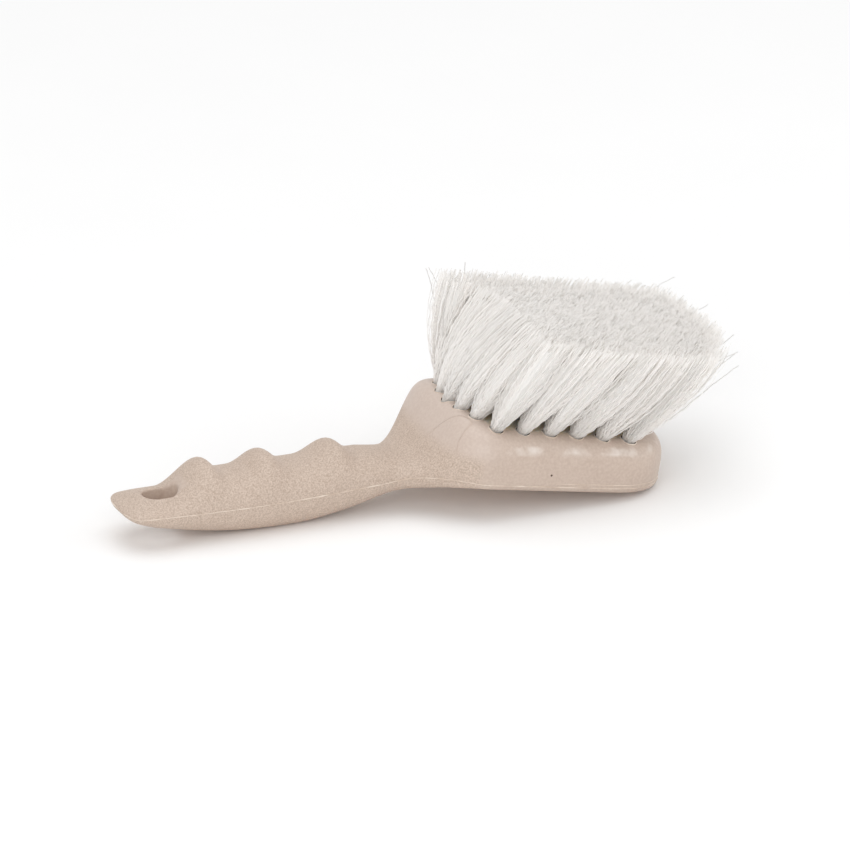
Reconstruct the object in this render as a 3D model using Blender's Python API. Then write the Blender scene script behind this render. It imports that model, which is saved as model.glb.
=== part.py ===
"""Utility brush: a one-piece moulded handle and block, set with tufts of crimped nylon.

Everything is modelled in the block's own frame, in metres: X runs from the handle towards
the nose, Y across, and the block's flat back lies at Z = 0 with the tufts above it. An empty
then lays the whole brush on its back, as it rests on a table, with the tufts up.
"""

import math

import bmesh
import bpy
from mathutils import Matrix, Vector, kdtree

# Block
BLOCK_LENGTH = 0.096
BLOCK_WIDTH = 0.066
BLOCK_THICKNESS = 0.0212
BLOCK_TAPER = 0.052  # thickness lost per length, towards the nose
BACK_EDGE_RADIUS = 0.0023
CROWN_EXPONENT = 4.6
NOSE_ROUND_LENGTH = 0.029
NOSE_SQUARENESS = 2.6
NOSE_TOP_RADIUS = 0.010
NOSE_FLAT_SHARE = 0.4  # least flat of the back, as a share of the width, near the nose

# Neck between block and grip
NECK_LENGTH = 0.0325
FLARE_LENGTH = 0.0292
FLARE_OVERLAP = 0.0186  # how far inside the block it reaches the full width
CROWN_FILL_LENGTH = 0.0196  # the crown goes from round to square over the flare's last part
BACK_FILL_LEAD = 0.004  # the flat of the back widens this much ahead of the flare
BACK_FLAT_OVERLAP = 0.0165  # the back is flat from here on
SHOULDER_LENGTH = 0.0215
SHOULDER_SKEW = 1.35
SHOULDER_OVERLAP = 0.0125  # how far the shoulder runs in over the block

# Grip
GRIP_LENGTH = 0.0806
GRIP_WIDTH = 0.028
GRIP_END_WIDTH_SHARE = 0.93
GRIP_FLAT_WIDTH = 0.009
GRIP_CREST_HEIGHT = 0.0054  # crest nearest the block, above the back plane
GRIP_SLOPE = 0.175
GRIP_DROP = 0.0284  # deepest point of the underside, below the back plane
UNDERSIDE_BOW = (  # share of the way from the end to the block, share of the drop
    (0.30, 1.00),
    (0.54, 0.865),
    (0.685, 0.65),
    (0.785, 0.435),
    (0.88, 0.235),
    (0.945, 0.072),
)
GRIP_END_RISE = 0.0010
GRIP_EXPONENT = 2.3
NOTCH_PITCH = 0.0268
NOTCH_PITCH_LOSS = 0.0034  # each notch towards the end is this much shorter
NOTCH_DEPTH = 0.0052
NOTCH_SHARPNESS = 2.0
NOTCH_COUNT = 2  # closed notches; a third one opens into the neck
END_LOBE_LENGTH = 0.018
END_LOBE_DROP = 0.0102  # below the line of the crests
END_LOBE_EXPONENT = 1.85
END_CORNER_LENGTH = 0.005
END_CORNER_SQUARENESS = 2.4
END_TOP_LENGTH = 0.012
END_TOP_SQUARENESS = 2.2
END_BELLY_LENGTH = 0.014
END_BELLY_SQUARENESS = 1.9

# The mould's parting line: a shallow arc along the grip, then down to the edge of the back
PARTING_HEIGHT = -0.0097  # at the crest nearest the block
PARTING_SLOPE = 0.203
PARTING_SAG = 0.0027  # how far it curves up from its slope by the end of the grip
PARTING_FALL_LENGTH = 0.032

# Hang slot near the end of the grip
SLOT_LENGTH = 0.0128
SLOT_WIDTH = 0.0080
SLOT_END_MARGIN = 0.0093

# Tuft field
ROW_COUNT = 7
ROW_SPACING = 0.0082
TUFT_PITCH = 0.0105
FIELD_LENGTH = 0.0718
FIELD_END_SAG = 0.0085  # how much shorter each end of the outer rows is
HOLE_DIAMETER = 0.0058
HOLE_DEPTH = 0.0130
HOLE_SIDES = 10

# Trimmed tips
TRIM_HEIGHT = 0.0578
TRIM_SLOPE = 0.048
TRIM_CROSS_SLOPE = 0.03  # the far side stands a little higher
TIP_FIELD_LENGTH = 0.0975
TIP_FIELD_SHIFT = 0.0172
TIP_FIELD_WIDTH = 0.0656
TIP_END_SAG = 0.0075
TIP_FAR_SPREAD = 0.0046  # extra spread of the far side, as photographed
DRILL_LEAN_SHARE = 0.75

# Strands
STRANDS_ROUND_CORE = 6
STRAND_SIDES = 3
STRAND_ROOT_RADIUS = 0.00080
STRAND_TIP_RADIUS = 0.00115
STRAND_RING_RADIUS = 0.00165
STRAND_SINK = 0.0006
STRAND_TIP_SPREAD = 0.36  # ring radius at the tips, as a share of the tips' pitch
STRAND_KNEE_SHARE = 0.5  # each strand leaves along its hole, and bends over by here
STRAND_KNEE_WEIGHT = 0.5
PLUG_SIDES = 6

# Anchor wires
ANCHOR_THICKNESS = 0.0005
ANCHOR_HEIGHT = 0.0020
ANCHOR_BITE = 0.0008  # how far each end goes into the hole's wall
ANCHOR_LIFT = 0.0015

CLEARANCE = 0.0003

# Facets
RING_UPPER_STEPS = 16
RING_CORNER_STEPS = 4
GRIP_STEP = 0.0030
NECK_STEP = 0.0028
BLOCK_STEP = 0.012
CAP_STEPS = 7
LAST_END_SHARE = 0.985
LAST_NOSE_SHARE = 0.998

BLOCK_REAR = -BLOCK_LENGTH / 2
NOSE = BLOCK_LENGTH / 2
CREST_X = BLOCK_REAR - NECK_LENGTH
HANDLE_END = CREST_X - GRIP_LENGTH
NECK_START = CREST_X + NOTCH_PITCH / 2
LAST_CREST_X = CREST_X - NOTCH_COUNT * NOTCH_PITCH + NOTCH_PITCH_LOSS * NOTCH_COUNT * (NOTCH_COUNT - 1) / 2
SHOULDER_START = BLOCK_REAR + SHOULDER_OVERLAP - SHOULDER_LENGTH
SHOULDER_END = BLOCK_REAR + SHOULDER_OVERLAP
FLARE_END = BLOCK_REAR + FLARE_OVERLAP


def mix(a, b, share):
    return a + (b - a) * share


def clamp(value):
    return min(1.0, max(0.0, value))


def ease(share):
    share = clamp(share)
    return share * share * (3 - 2 * share)


def slow_ease(share):
    share = clamp(share)
    return share**3 * (share * (6 * share - 15) + 10)


def bulge(share, exponent):
    """Height of a superellipse at this share of its half length."""
    return (1 - clamp(share) ** exponent) ** (1 / exponent)


def curve_through(knots, x):
    """A smooth curve through a few points, level at both ends, by cubic pieces."""
    count = len(knots)
    slopes = [0.0] * count
    for i in range(1, count - 1):
        before, after = knots[i - 1], knots[i + 1]
        slopes[i] = (after[1] - before[1]) / (after[0] - before[0])
    for i in range(count - 1):
        x0, y0 = knots[i]
        x1, y1 = knots[i + 1]
        if x <= x1:
            span = x1 - x0
            t = (x - x0) / span
            rise = y1 - y0
            bend_in = slopes[i] * span - rise
            bend_out = rise - slopes[i + 1] * span
            return mix(y0, y1, t) + t * (1 - t) * (bend_in * (1 - t) + bend_out * t)
    return knots[-1][1]


def block_top(x):
    return BLOCK_THICKNESS - BLOCK_TAPER * x


def lobe_share(x):
    """0 up to the last crest, 1 on the low end lobe."""
    return ease((LAST_CREST_X - x) / (LAST_CREST_X - HANDLE_END - END_LOBE_LENGTH))


def grip_crest(x):
    """The line that the crests between the notches touch: straight, falling to the end lobe."""
    return GRIP_CREST_HEIGHT + GRIP_SLOPE * (x - CREST_X) - END_LOBE_DROP * lobe_share(x)


def grip_top(x):
    """The crest line less the finger notches."""
    if x > NECK_START:
        return grip_crest(NECK_START) - NOTCH_DEPTH
    if x < LAST_CREST_X:
        return grip_crest(x)
    crest, pitch = CREST_X, NOTCH_PITCH
    while x < crest - pitch:
        crest, pitch = crest - pitch, pitch - NOTCH_PITCH_LOSS
    notch = 1 - math.cos(math.pi * (x - crest) / pitch) ** (2 * NOTCH_SHARPNESS)
    return grip_crest(x) - NOTCH_DEPTH * notch


def underside(x):
    """The back of the block, then the bowed underside of the neck and grip."""
    flat_end = BLOCK_REAR + BACK_FLAT_OVERLAP
    span = flat_end - HANDLE_END
    if x >= flat_end:
        return 0.0
    knots = [(HANDLE_END, GRIP_END_RISE - GRIP_DROP)]
    knots += [(HANDLE_END + along * span, -down * GRIP_DROP) for along, down in UNDERSIDE_BOW]
    knots += [(flat_end, 0.0), (NOSE, 0.0)]
    return curve_through(knots, x)


def arrival(x, length):
    """0 up to this length before the block has its full width, then easing up to 1 there."""
    return ease((x - FLARE_END) / length + 1)


def top_line(x):
    rise = slow_ease(clamp((x - SHOULDER_START) / SHOULDER_LENGTH) ** SHOULDER_SKEW)
    return mix(grip_top(x), block_top(x), rise)


def parting_line(x):
    along = x - CREST_X
    arc = PARTING_HEIGHT + PARTING_SLOPE * along + PARTING_SAG * (along / GRIP_LENGTH) ** 2
    return mix(arc, BACK_EDGE_RADIUS, arrival(x, PARTING_FALL_LENGTH))


def half_width(x):
    off_centre = abs(x - CREST_X + NOTCH_PITCH) / (2 * NOTCH_PITCH)
    grip = GRIP_WIDTH / 2 * mix(1.0, GRIP_END_WIDTH_SHARE, ease(off_centre))
    return mix(grip, BLOCK_WIDTH / 2, arrival(x, FLARE_LENGTH))


def section(x):
    """Half width, height of the widest line, top, bottom, flat half width and crown exponent."""
    wide, widest = half_width(x), parting_line(x)
    top, bottom = top_line(x), underside(x)
    flat = mix(GRIP_FLAT_WIDTH / 2, wide - BACK_EDGE_RADIUS, arrival(x + BACK_FILL_LEAD, FLARE_LENGTH))
    exponent = mix(GRIP_EXPONENT, CROWN_EXPONENT, arrival(x, CROWN_FILL_LENGTH))
    exponent = mix(exponent, END_LOBE_EXPONENT, lobe_share(x))
    closing = bulge(1 - (x - HANDLE_END) / END_CORNER_LENGTH, END_CORNER_SQUARENESS)
    wide, flat = wide * closing, flat * closing
    top = mix(widest, top, bulge(1 - (x - HANDLE_END) / END_TOP_LENGTH, END_TOP_SQUARENESS))
    bottom = mix(widest, bottom, bulge(1 - (x - HANDLE_END) / END_BELLY_LENGTH, END_BELLY_SQUARENESS))
    nose_share = (x - NOSE + NOSE_ROUND_LENGTH) / NOSE_ROUND_LENGTH
    if nose_share > 0:
        wide = wide * bulge(nose_share, NOSE_SQUARENESS)
        edge = bulge((x - NOSE + BACK_EDGE_RADIUS) / BACK_EDGE_RADIUS, 2)
        flat = max(NOSE_FLAT_SHARE * wide, wide - BACK_EDGE_RADIUS) * mix(NOSE_FLAT_SHARE, 1.0, edge)
        bottom = mix(widest, bottom, edge)
        top_share = (x - NOSE + NOSE_TOP_RADIUS) / NOSE_TOP_RADIUS
        top = mix(widest, top, bulge(top_share, NOSE_SQUARENESS))
    return wide, widest, top, bottom, flat, exponent


def ring_at(x):
    """One closed section: over the crown from one side to the other, then back underneath."""
    wide, widest, top, bottom, flat, exponent = section(x)
    power = 2 / exponent
    ring = []
    for step in range(RING_UPPER_STEPS + 1):
        angle = math.pi * step / RING_UPPER_STEPS
        across, up = math.cos(angle), math.sin(angle)
        y = wide * math.copysign(abs(across) ** power, across)
        ring.append(Vector((x, y, widest + (top - widest) * max(up, 0) ** power)))
    for side in (-1, 1):
        corner = []
        for step in range(1, RING_CORNER_STEPS + 1):
            angle = math.pi / 2 * step / RING_CORNER_STEPS
            y = flat + (wide - flat) * math.cos(angle)
            corner.append(Vector((x, side * y, widest + (bottom - widest) * math.sin(angle))))
        ring += corner if side < 0 else corner[::-1]
    return ring


def evenly(start, stop, step):
    count = max(1, math.ceil((stop - start) / step))
    return [mix(start, stop, i / count) for i in range(count)]


def stations():
    """Places of the sections: close together at both ends, notches and neck."""
    end_cap = []
    for i in range(CAP_STEPS):
        share = LAST_END_SHARE * math.cos(math.pi / 2 * i / CAP_STEPS)
        end_cap.append(HANDLE_END + END_TOP_LENGTH * (1 - share))
    grip = evenly(HANDLE_END + END_TOP_LENGTH, NECK_START, GRIP_STEP)
    neck = evenly(NECK_START, FLARE_END, NECK_STEP)
    block = evenly(FLARE_END, NOSE - NOSE_ROUND_LENGTH, BLOCK_STEP)
    nose_cap = []
    for i in range(CAP_STEPS + 3):
        share = min(LAST_NOSE_SHARE, math.sin(math.pi / 2 * i / (CAP_STEPS + 2)))
        nose_cap.append(NOSE - NOSE_ROUND_LENGTH * (1 - share))
    return end_cap + grip + neck + block + nose_cap


def new_collection(name):
    collection = bpy.data.collections.new(name)
    bpy.context.scene.collection.children.link(collection)
    return collection


def new_material(name, colour, roughness, metallic=0.0):
    material = bpy.data.materials.new(name)
    material.use_nodes = True
    shader = material.node_tree.nodes["Principled BSDF"]
    shader.inputs["Base Color"].default_value = (*colour, 1)
    shader.inputs["Roughness"].default_value = roughness
    shader.inputs["Metallic"].default_value = metallic
    return material


def new_object(name, bm, collection, material=None):
    bmesh.ops.recalc_face_normals(bm, faces=bm.faces)
    mesh = bpy.data.meshes.new(name)
    bm.to_mesh(mesh)
    bm.free()
    obj = bpy.data.objects.new(name, mesh)
    collection.objects.link(obj)
    if material:
        mesh.materials.append(material)
    else:
        obj.hide_render = True
        obj.display_type = "WIRE"
    return obj


def boolean(obj, operation, other):
    modifier = obj.modifiers.new(operation.lower() + "_" + other.name, "BOOLEAN")
    modifier.operation = operation
    modifier.object = other
    modifier.solver = "EXACT"


def bridge(bm, first, second):
    """Faces between two rings of vertices of the same length."""
    count = len(first)
    for i in range(count):
        j = (i + 1) % count
        bm.faces.new((first[i], first[j], second[j], second[i]))


def add_prism(bm, rings):
    """A closed tube through rings of points, with a flat face on each end."""
    loops = [[bm.verts.new(point) for point in ring] for ring in rings]
    for first, second in zip(loops, loops[1:]):
        bridge(bm, first, second)
    bm.faces.new(loops[0][::-1])
    bm.faces.new(loops[-1])


def circle(centre, frame, radius, sides, turn=0.0):
    points = []
    for i in range(sides):
        angle = turn + 2 * math.pi * i / sides
        points.append(centre + frame @ Vector((radius * math.cos(angle), radius * math.sin(angle), 0)))
    return points


class Tuft:
    """Where one tuft sits: its hole's mouth, the hole's direction and its trimmed end."""

    def __init__(self, name, row_share, along_share, tip_pitch):
        self.name = name
        y = row_share * ROW_SPACING * (ROW_COUNT - 1) / 2
        x = along_share * (FIELD_LENGTH / 2 - FIELD_END_SAG * row_share**2)
        self.mouth = Vector((x, y, crown_height(x, y)))
        tip_half = TIP_FIELD_LENGTH / 2 - TIP_END_SAG * row_share**2 + TIP_FAR_SPREAD * row_share
        tip_x = TIP_FIELD_SHIFT + along_share * tip_half
        tip_y = row_share * TIP_FIELD_WIDTH / 2
        self.tip = on_trim(tip_x, tip_y)
        lean = self.tip - self.mouth
        drill = Vector((lean.x * DRILL_LEAN_SHARE, lean.y, lean.z))
        self.axis = drill.normalized()
        across = Vector((0, 1, 0)).cross(self.axis).normalized()
        self.frame = Matrix((across, self.axis.cross(across), self.axis)).transposed()
        self.tip_pitch = tip_pitch

    def along_axis(self, distance):
        return self.mouth + self.axis * distance

    def strands(self):
        """Each strand's turn, root, middle and tip: one in the core, the rest fanned round it."""
        places = [(0.0, 0.0, 0.0)]
        for i in range(STRANDS_ROUND_CORE):
            angle = 2 * math.pi * i / STRANDS_ROUND_CORE
            places.append((angle, math.cos(angle), math.sin(angle)))
        lines = []
        for angle, across, up in places:
            spread = Vector((across * STRAND_RING_RADIUS, up * STRAND_RING_RADIUS, 0))
            root = self.along_axis(-STRAND_SINK) + self.frame @ spread
            tip = on_trim(
                self.tip.x + across * STRAND_TIP_SPREAD * self.tip_pitch[0],
                self.tip.y + up * STRAND_TIP_SPREAD * self.tip_pitch[1],
            )
            knee = root + self.axis * STRAND_KNEE_SHARE * (tip - root).length
            middle = (root + tip).lerp(2 * knee, STRAND_KNEE_WEIGHT) / 2
            lines.append((angle + math.pi, root, middle, tip))
        return lines


def crown_height(x, y):
    """Height of the block's crown under a tuft."""
    wide, widest, top, _, _, exponent = section(x)
    return widest + (top - widest) * bulge(abs(y) / wide, exponent)


def on_trim(x, y):
    """A point of the flat face that the tufts are trimmed to."""
    return Vector((x, y, TRIM_HEIGHT - TRIM_SLOPE * x + TRIM_CROSS_SLOPE * y))


def lay_out_tufts():
    """Rows across the block; each row's tufts are spread evenly between its two ends."""
    tufts = []
    middle = (ROW_COUNT - 1) / 2
    for row in range(ROW_COUNT):
        row_share = (row - middle) / middle
        length = FIELD_LENGTH - 2 * FIELD_END_SAG * row_share**2
        count = int(length / TUFT_PITCH) + 1
        tip_length = TIP_FIELD_LENGTH - 2 * TIP_END_SAG * row_share**2
        tip_length += 2 * TIP_FAR_SPREAD * row_share
        tip_pitch = (tip_length / (count - 1), TIP_FIELD_WIDTH / (ROW_COUNT - 1))
        for i in range(count):
            along_share = 2 * i / (count - 1) - 1
            name = f"tuft_row_{row + 1}_no_{i + 1}"
            tufts.append(Tuft(name, row_share, along_share, tip_pitch))
    return tufts


def least_strand_gap(tufts):
    """Smallest free distance between two strands, sampled at matching heights."""
    samples = 24
    least = math.inf
    lines = [line for tuft in tufts for line in tuft.strands()]
    for step in range(1, samples + 1):
        share = step / samples
        tree = kdtree.KDTree(len(lines))
        points = []
        for i, (_, root, middle, tip) in enumerate(lines):
            if share < 0.5:
                point = root.lerp(middle, share * 2)
            else:
                point = middle.lerp(tip, share * 2 - 1)
            points.append(point)
            tree.insert(point, i)
        tree.balance()
        radius = mix(STRAND_ROOT_RADIUS, STRAND_TIP_RADIUS, share)
        for point in points:
            nearest = tree.find_n(point, 2)[1]
            least = min(least, nearest[2] - 2 * radius)
    return least


def make_moulding(collection, cutters, plastic, tufts):
    """The handle and block in one loft, then drilled, pocketed and slotted."""
    bm = bmesh.new()
    add_prism(bm, [ring_at(x) for x in stations()])
    moulding = new_object("handle_block", bm, collection, plastic)
    boolean(moulding, "DIFFERENCE", make_drills(cutters, tufts))
    boolean(moulding, "DIFFERENCE", make_anchors("anchor_pockets", cutters, tufts, CLEARANCE))
    boolean(moulding, "DIFFERENCE", make_slot_cutter(cutters))
    moulding.data.shade_smooth()
    moulding.data.set_sharp_from_angle(angle=math.radians(40))
    return moulding


def make_drills(cutters, tufts):
    bm = bmesh.new()
    for tuft in tufts:
        rings = []
        for distance in (-HOLE_DEPTH, HOLE_DIAMETER):
            centre = tuft.along_axis(distance)
            rings.append(circle(centre, tuft.frame, HOLE_DIAMETER / 2, HOLE_SIDES, math.pi / HOLE_SIDES))
        add_prism(bm, rings)
    return new_object("tuft_drills", bm, cutters)


def make_anchors(name, collection, tufts, margin):
    """One flat wire across the bottom of each hole, or with a margin the pocket that it bites."""
    bm = bmesh.new()
    size = Vector((
        HOLE_DIAMETER + 2 * ANCHOR_BITE + 2 * margin,
        ANCHOR_THICKNESS + 2 * margin,
        ANCHOR_HEIGHT + 2 * margin,
    ))
    lift = CLEARANCE + ANCHOR_LIFT + ANCHOR_HEIGHT / 2
    for tuft in tufts:
        made = bmesh.ops.create_cube(bm, size=1.0)
        bmesh.ops.scale(bm, vec=size, verts=made["verts"])
        place = Matrix.Translation(tuft.along_axis(lift - HOLE_DEPTH)) @ tuft.frame.to_4x4()
        bmesh.ops.transform(bm, matrix=place, verts=made["verts"])
    return new_object(name, bm, collection)


def make_slot_cutter(cutters):
    """A slot with round ends, square to the grip's own slope."""
    bm = bmesh.new()
    centre_x = HANDLE_END + SLOT_END_MARGIN + SLOT_LENGTH / 2
    run = SLOT_LENGTH / 2 - SLOT_WIDTH / 2
    outline = []
    for end, start_angle in ((1, -90), (-1, 90)):
        for i in range(9):
            angle = math.radians(start_angle + 180 * i / 8)
            outline.append((end * run + SLOT_WIDTH / 2 * math.cos(angle), SLOT_WIDTH / 2 * math.sin(angle)))
    tilt = Matrix.Rotation(-math.atan(GRIP_SLOPE), 3, "Y")
    middle = Vector((centre_x, 0, mix(underside(centre_x), grip_top(centre_x), 0.5)))
    rings = []
    for height in (-GRIP_DROP, GRIP_DROP):
        rings.append([middle + tilt @ Vector((x, y, height)) for x, y in outline])
    add_prism(bm, rings)
    return new_object("hang_slot", bm, cutters)


def make_tuft(tuft, collection, cutters, nylon):
    """A packed plug in the hole, with its strands and the anchor wire it is folded over."""
    bm = bmesh.new()
    radius = HOLE_DIAMETER / 2 * math.cos(math.pi / HOLE_SIDES) - CLEARANCE
    rings = []
    for distance in (CLEARANCE - HOLE_DEPTH, 0.0):
        centre = tuft.along_axis(distance)
        rings.append(circle(centre, tuft.frame, radius, PLUG_SIDES, math.pi / PLUG_SIDES))
    add_prism(bm, rings)
    plug = new_object(tuft.name, bm, collection, nylon)

    bm = bmesh.new()
    for turn, root, middle, tip in tuft.strands():
        rings = []
        for share, point in ((0.0, root), (0.5, middle), (1.0, tip)):
            size = mix(STRAND_ROOT_RADIUS, STRAND_TIP_RADIUS, share)
            frame = tuft.frame if share < 1 else Matrix.Identity(3)
            rings.append(circle(point, frame, size, STRAND_SIDES, turn))
        add_prism(bm, rings)
    strands = new_object(tuft.name + "_strands", bm, cutters)
    boolean(plug, "UNION", strands)
    boolean(plug, "UNION", make_anchors(tuft.name + "_anchor", cutters, [tuft], 0.0))
    return plug


def rest_angle():
    """Tilt of the brush lying on its back: on the nose's lower edge and the grip's belly."""
    foot = NOSE - BACK_EDGE_RADIUS
    tilt = 0.0
    for x in stations():
        _, _, _, bottom, _, _ = section(x)
        if x < BLOCK_REAR:
            tilt = max(tilt, math.atan2(-bottom, foot - x))
    return tilt


def lay_on_table(pieces, cutters):
    """Tilts the brush on to its back, centred over the origin and standing on Z = 0."""
    stand = bpy.data.objects.new("brush_on_its_back", None)
    bpy.context.scene.collection.objects.link(stand)
    for obj in pieces + cutters:
        obj.parent = stand
    turn = Matrix.Rotation(rest_angle(), 4, "Y")
    bpy.context.view_layer.update()
    graph = bpy.context.evaluated_depsgraph_get()
    low, high = Vector((math.inf,) * 3), Vector((-math.inf,) * 3)
    for obj in pieces:
        evaluated = obj.evaluated_get(graph)
        mesh = evaluated.to_mesh()
        for vertex in mesh.vertices:
            point = turn @ vertex.co
            low = Vector(map(min, low, point))
            high = Vector(map(max, high, point))
        evaluated.to_mesh_clear()
    stand.rotation_euler = turn.to_euler()
    stand.location = (-(low.x + high.x) / 2, -(low.y + high.y) / 2, -low.z)


def main():
    for obj in list(bpy.data.objects):
        bpy.data.objects.remove(obj, do_unlink=True)
    parts = new_collection("utility_brush")
    cutters = new_collection("cutters")
    plastic = new_material("tan_polypropylene", (0.61, 0.49, 0.40), 0.55)
    nylon = new_material("white_nylon", (0.86, 0.86, 0.83), 0.45)

    tufts = lay_out_tufts()
    print("strands:", sum(len(tuft.strands()) for tuft in tufts))
    print(f"least gap between strands: {1000 * least_strand_gap(tufts):.2f} mm")
    pieces = [make_moulding(parts, cutters, plastic, tufts)]
    pieces += [make_tuft(tuft, parts, cutters, nylon) for tuft in tufts]
    lay_on_table(pieces, list(cutters.objects))


main()
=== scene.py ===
import math
import random

import bmesh
import bpy
from mathutils import Matrix, Vector


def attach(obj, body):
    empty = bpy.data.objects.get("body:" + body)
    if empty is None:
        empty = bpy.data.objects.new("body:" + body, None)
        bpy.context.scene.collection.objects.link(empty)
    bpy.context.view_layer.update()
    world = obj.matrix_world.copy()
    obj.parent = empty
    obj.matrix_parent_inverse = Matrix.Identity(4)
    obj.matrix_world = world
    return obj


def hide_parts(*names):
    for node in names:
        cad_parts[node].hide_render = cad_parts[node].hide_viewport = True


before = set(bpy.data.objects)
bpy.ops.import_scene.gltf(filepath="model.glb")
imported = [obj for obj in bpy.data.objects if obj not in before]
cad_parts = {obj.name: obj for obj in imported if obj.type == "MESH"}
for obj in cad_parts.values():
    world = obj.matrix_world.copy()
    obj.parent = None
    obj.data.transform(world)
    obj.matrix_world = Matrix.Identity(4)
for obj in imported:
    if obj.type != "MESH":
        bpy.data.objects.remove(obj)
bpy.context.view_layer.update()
scene = bpy.context.scene


# Handle and block: one moulding of tan polypropylene, lofted through sections from the end
# of the grip to the nose. It has three finger notches and rests on its nose and its belly.
BLOCK_LENGTH = 0.096
BLOCK_WIDTH = 0.066
BLOCK_THICKNESS = 0.0212
BLOCK_TAPER = 0.052
BACK_EDGE_RADIUS = 0.0023
CROWN_EXPONENT = 4.6
NOSE_ROUND_LENGTH = 0.029
NOSE_SQUARENESS = 2.6
NOSE_TOP_RADIUS = 0.010
NOSE_FLAT_SHARE = 0.4
NECK_LENGTH = 0.0325
FLARE_LENGTH = 0.0292
FLARE_OVERLAP = 0.0186
CROWN_FILL_LENGTH = 0.0196
BACK_FILL_LEAD = 0.004
BACK_FLAT_OVERLAP = 0.0165
SHOULDER_LENGTH = 0.0215
SHOULDER_SKEW = 1.35
SHOULDER_OVERLAP = 0.0125
GRIP_LENGTH = 0.0806
GRIP_WIDTH = 0.028
GRIP_END_WIDTH_SHARE = 0.93
GRIP_FLAT_WIDTH = 0.009
GRIP_CREST_HEIGHT = 0.0054
GRIP_SLOPE = 0.175
GRIP_DROP = 0.0284
UNDERSIDE_BOW = (  # share of the way from the end to the block, share of the drop
    (0.30, 1.0), (0.54, 0.865), (0.685, 0.65), (0.785, 0.435), (0.88, 0.235), (0.945, 0.072),
)
GRIP_END_RISE = 0.0010
GRIP_EXPONENT = 2.3
NOTCH_PITCH = 0.0268
NOTCH_PITCH_LOSS = 0.0034
NOTCH_DEPTH = 0.0052
NOTCH_SHARPNESS = 2.0
NOTCH_COUNT = 2
END_LOBE_LENGTH = 0.018
END_LOBE_DROP = 0.0102
END_LOBE_EXPONENT = 1.85
END_CORNER_LENGTH = 0.005
END_CORNER_SQUARENESS = 2.4
END_TOP_LENGTH = 0.012
END_TOP_SQUARENESS = 2.2
END_BELLY_LENGTH = 0.014
END_BELLY_SQUARENESS = 1.9
PARTING_HEIGHT = -0.0097
PARTING_SLOPE = 0.203
PARTING_SAG = 0.0027
PARTING_FALL_LENGTH = 0.032

BLOCK_REAR = -BLOCK_LENGTH / 2
NOSE = BLOCK_LENGTH / 2
CREST_X = BLOCK_REAR - NECK_LENGTH
HANDLE_END = CREST_X - GRIP_LENGTH
NECK_START = CREST_X + NOTCH_PITCH / 2
LAST_CREST_X = CREST_X - NOTCH_COUNT * (NOTCH_PITCH - NOTCH_PITCH_LOSS * (NOTCH_COUNT - 1) / 2)
SHOULDER_START = BLOCK_REAR + SHOULDER_OVERLAP - SHOULDER_LENGTH
FLARE_END = BLOCK_REAR + FLARE_OVERLAP

# The brush is shaped with its back level, then laid down as the solids lie: on the nose's lower
# edge and the grip's belly.
REST_TILT = math.radians(10.195232)
BACK_CENTRE = (0.040468, 0, 0.008121)
REST_PLACE = Matrix.Translation(BACK_CENTRE) @ Matrix.Rotation(REST_TILT, 4, "Y")


def mix(a, b, share):
    return a + (b - a) * share


def clamp(value):
    return min(1.0, max(0.0, value))


def ease(share):
    share = clamp(share)
    return share * share * (3 - 2 * share)


def slow_ease(share):
    share = clamp(share)
    return share**3 * (share * (6 * share - 15) + 10)


def bulge(share, exponent):
    return (1 - clamp(share) ** exponent) ** (1 / exponent)


def lobe_share(x):
    """0 up to the last crest, 1 on the low end lobe."""
    return ease((LAST_CREST_X - x) / (LAST_CREST_X - HANDLE_END - END_LOBE_LENGTH))


def grip_crest(x):
    return GRIP_CREST_HEIGHT + GRIP_SLOPE * (x - CREST_X) - END_LOBE_DROP * lobe_share(x)


def grip_top(x):
    """The crest line less the finger notches."""
    if x > NECK_START:
        return grip_crest(NECK_START) - NOTCH_DEPTH
    if x < LAST_CREST_X:
        return grip_crest(x)
    crest, pitch = CREST_X, NOTCH_PITCH
    while x < crest - pitch:
        crest, pitch = crest - pitch, pitch - NOTCH_PITCH_LOSS
    notch = 1 - math.cos(math.pi * (x - crest) / pitch) ** (2 * NOTCH_SHARPNESS)
    return grip_crest(x) - NOTCH_DEPTH * notch


def underside(x):
    """Flat back of the block, then the bowed underside of neck and grip."""
    flat_end = BLOCK_REAR + BACK_FLAT_OVERLAP
    if x >= flat_end:
        return 0.0
    span = flat_end - HANDLE_END
    knots = [(HANDLE_END, GRIP_END_RISE - GRIP_DROP)]
    knots += [(HANDLE_END + along * span, -down * GRIP_DROP) for along, down in UNDERSIDE_BOW]
    knots += [(flat_end, 0.0), (NOSE, 0.0)]
    slopes = [0.0] * len(knots)
    for i in range(1, len(knots) - 1):
        before, after = knots[i - 1], knots[i + 1]
        slopes[i] = (after[1] - before[1]) / (after[0] - before[0])
    for i in range(len(knots) - 1):
        (x0, z0), (x1, z1) = knots[i], knots[i + 1]
        if x <= x1:
            t = (x - x0) / (x1 - x0)
            bend_in = slopes[i] * (x1 - x0) - (z1 - z0)
            bend_out = (z1 - z0) - slopes[i + 1] * (x1 - x0)
            return mix(z0, z1, t) + t * (1 - t) * (bend_in * (1 - t) + bend_out * t)
    return 0.0


def arrival(x, length):
    """0 up to this length before the block has its full width, then easing up to 1 there."""
    return ease((x - FLARE_END) / length + 1)


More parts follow.
